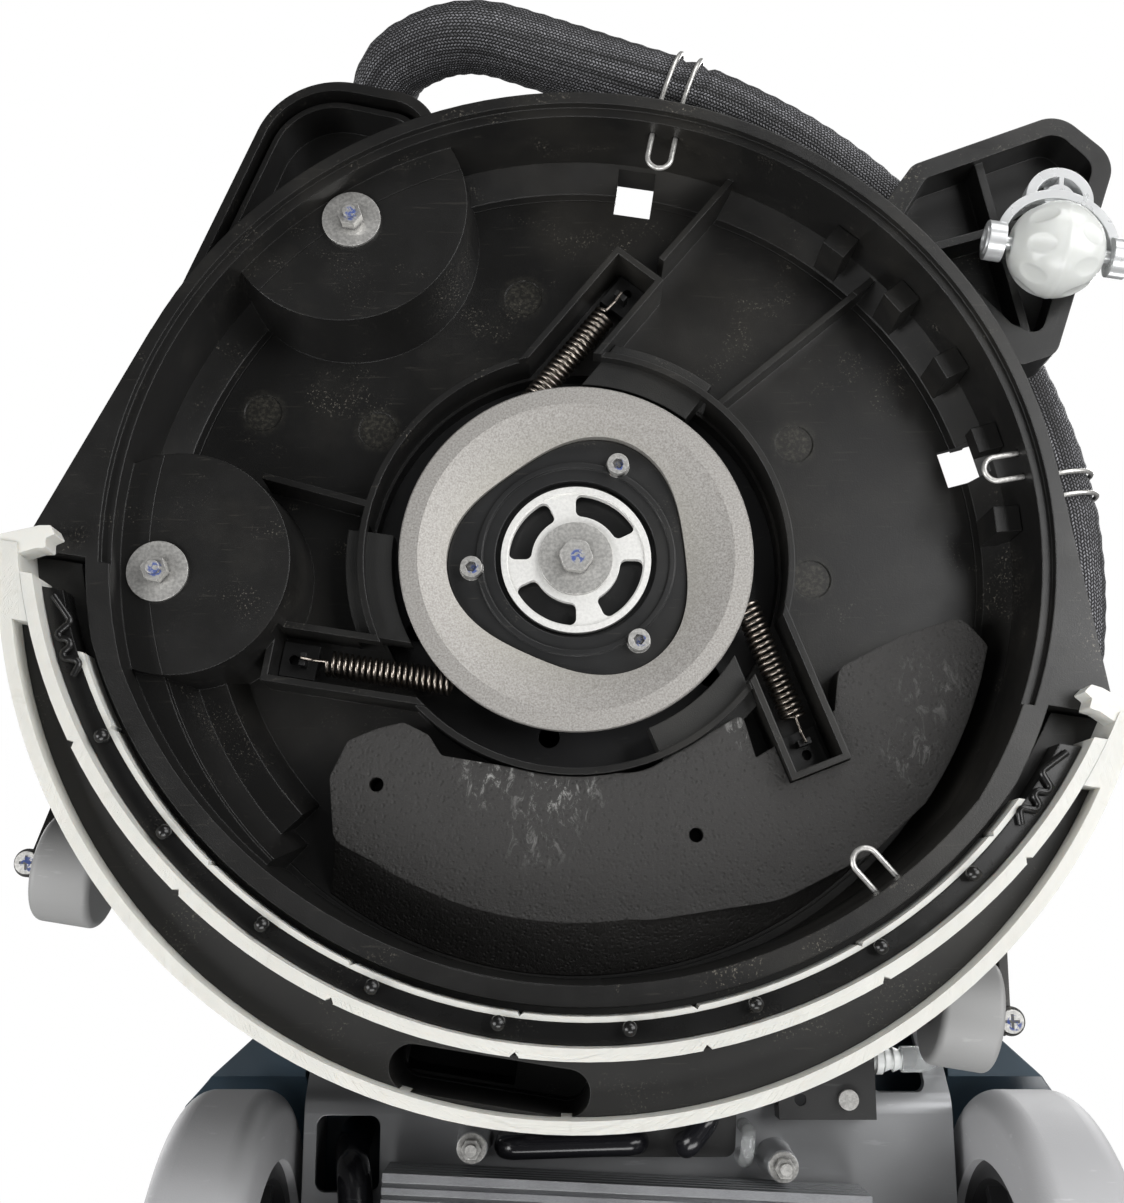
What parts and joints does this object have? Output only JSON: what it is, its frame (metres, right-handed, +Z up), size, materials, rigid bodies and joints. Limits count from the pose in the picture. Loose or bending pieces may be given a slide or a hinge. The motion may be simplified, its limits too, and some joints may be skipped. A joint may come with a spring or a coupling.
{
  "type": "floor scrubber dryer",
  "caption": "Compact walk-behind floor scrubber with a turning round deck, curved twin-blade squeegee, braided suction hose, tanks and folding handle.",
  "frame": {"origin": "centre of the bounding box on the floor plane", "axes": "+Z up, -Y towards the deck at the front, +X to the right when seen from below with the front on top; the handle is at +Y"},
  "size_m": [0.4996, 1.0225, 1.0577],
  "materials": {
    "black_plastic": "satin black moulding with fine dust and scratches",
    "rubber_black": "dull dark grey rubber",
    "casting": "rough black painted casting",
    "blade": "off-white translucent blade",
    "hose_black": "black braided sleeve",
    "hose_dark": "glossy dark hose",
    "clear_tube": "clear flexible tube",
    "white_plastic": "white moulding",
    "clear_ball": "clear moulded ball",
    "fork_grey": "light silver grey moulding",
    "zinc": "zinc plated steel",
    "spring_steel": "oiled spring steel",
    "dark_steel": "black painted steel",
    "ring_grey": "bead blasted plate",
    "hub_black": "black moulded hub",
    "disc_silver": "turned aluminium",
    "motor_black": "black painted motor body",
    "pan_grey": "semi-gloss grey paint",
    "heatsink": "ribbed extrusion",
    "roller_grey": "mid grey roller",
    "tyre_grey": "light grey tyre",
    "hub_dark": "dark wheel centre",
    "tank_slate": "dark slate blue tank",
    "tank_upper": "grey tank",
    "window": "clear window",
    "battery_dark": "battery case",
    "riser_black": "black moulded pipe",
    "frame_dark": "dark slate powder coat",
    "panel_black": "black moulded housing",
    "switch_green": "green button",
    "lever_red": "red safety lever"
  },
  "bodies": {
    "chassis": {"swivel_arm": "dark_steel", "chassis_pan": "pan_grey", "chassis_fasteners": "zinc", "valve_bracket": "dark_steel", "barb_fitting": "white_plastic", "clear_hose": "clear_tube", "drain_hoses": "hose_dark", "controller_box": "heatsink", "axle": "zinc", "solution_tank": "tank_slate", "battery_pack": "battery_dark", "suction_riser": "riser_black", "handle_post": "frame_dark", "fold_pin": "zinc"},
    "tank": {"recovery_tank": "tank_upper", "lid_hinge": "zinc"},
    "lid": {"tank_lid": "tank_upper", "lid_window": "window"},
    "handle": {"handle_tube": "frame_dark", "handle_loop": "frame_dark", "handle_grips": "rubber_black", "control_panel": "panel_black"},
    "trigger": {"trigger_bar": "lever_red"},
    "power_switch": {"power_button": "switch_green"},
    "flow_control": {"flow_knob": "panel_black"},
    "wheel_left": {"wheel_hub_left": "hub_dark", "wheel_tyre_left": "tyre_grey"},
    "wheel_right": {"wheel_hub_right": "hub_dark", "wheel_tyre_right": "tyre_grey"},
    "deck": {"deck_housing": "black_plastic", "deck_skirt": "black_plastic", "ballast_plate": "casting", "rubber_pads": "rubber_black", "spring_hook_plates": "dark_steel", "pivot_fasteners": "zinc", "hose_guide_cover": "black_plastic", "guide_arm": "black_plastic", "guide_fork": "fork_grey", "squeegee_body": "black_plastic", "outer_blade": "blade", "inner_blade": "blade", "blade_strap": "black_plastic", "liner_strip": "blade", "suction_duct": "black_plastic", "suction_hose": "hose_black", "hose_union": "black_plastic", "hose_clips": "zinc", "roller_arms": "black_plastic", "roller_fasteners": "zinc", "turret_cap": "black_plastic", "springs": "spring_steel"},
    "drive_unit": {"gearmotor": "motor_black"},
    "pad_driver": {"drive_ring": "ring_grey", "drive_hub": "hub_black", "hub_screws": "zinc", "drive_disc": "disc_silver", "drive_shaft": "zinc"},
    "ball": {"guide_ball": "clear_ball"},
    "small_roller_left": {"roller_left": "roller_grey"},
    "small_roller_right": {"roller_right": "roller_grey"}
  },
  "joints": [
    {"name": "deck_swivel", "type": "hinge", "parent": "chassis", "child": "deck", "pos_m": [-0.00673, -0.19566, 0.126], "axis": [0, 0, 1], "range_deg": [-68.9, 51.1]},
    {"name": "drive_float", "type": "slide", "parent": "deck", "child": "drive_unit", "axis": [0, 0, 1], "range_m": [-0.004, 0], "stiffness_N_per_m": 40000, "springref_m": 0.004},
    {"name": "driver_spin", "type": "hinge", "parent": "drive_unit", "child": "pad_driver", "pos_m": [-0.00673, -0.19566, 0.066], "axis": [0, 0, 1], "continuous": true},
    {"name": "ball_roll", "type": "hinge", "parent": "deck", "child": "ball", "pos_m": [0.21207, -0.33245, 0.025], "axis": [0.988, 0.1547, 0], "continuous": true},
    {"name": "roller_left_roll", "type": "hinge", "parent": "deck", "child": "small_roller_left", "pos_m": [-0.22163, -0.05471, 0.0495], "axis": [0.988, 0.1547, 0], "continuous": true},
    {"name": "roller_right_roll", "type": "hinge", "parent": "deck", "child": "small_roller_right", "pos_m": [0.15479, 0.00424, 0.0495], "axis": [0.988, 0.1547, 0], "continuous": true},
    {"name": "wheel_left_roll", "type": "hinge", "parent": "chassis", "child": "wheel_left", "pos_m": [-0.16023, 0.14134, 0.1], "axis": [1, 0, 0], "continuous": true},
    {"name": "wheel_right_roll", "type": "hinge", "parent": "chassis", "child": "wheel_right", "pos_m": [0.19677, 0.14134, 0.1], "axis": [1, 0, 0], "continuous": true},
    {"name": "tank_lift", "type": "slide", "parent": "chassis", "child": "tank", "axis": [0, 0, 1], "range_m": [0, 0.06]},
    {"name": "lid_open", "type": "hinge", "parent": "tank", "child": "lid", "pos_m": [0.01827, -0.04266, 0.61], "axis": [1, 0, 0], "range_deg": [0, 100]},
    {"name": "handle_fold", "type": "hinge", "parent": "chassis", "child": "handle", "pos_m": [0.01827, 0.39434, 0.65], "axis": [1, 0, 0], "range_deg": [-10, 45]},
    {"name": "trigger_pull", "type": "hinge", "parent": "handle", "child": "trigger", "pos_m": [0.01827, 0.46978, 1.01458], "axis": [1, 0, 0], "range_deg": [-14, 0], "stiffness_Nm_per_rad": 1.2, "springref_deg": 6.88},
    {"name": "power_press", "type": "slide", "parent": "handle", "child": "power_switch", "axis": [0, 0.9703, -0.2419], "range_m": [-0.003, 0], "stiffness_N_per_m": 400},
    {"name": "flow_turn", "type": "hinge", "parent": "handle", "child": "flow_control", "pos_m": [0.05227, 0.49603, 0.93383], "axis": [0, 0.9703, -0.2419], "range_deg": [-135, 135]}
  ]
}
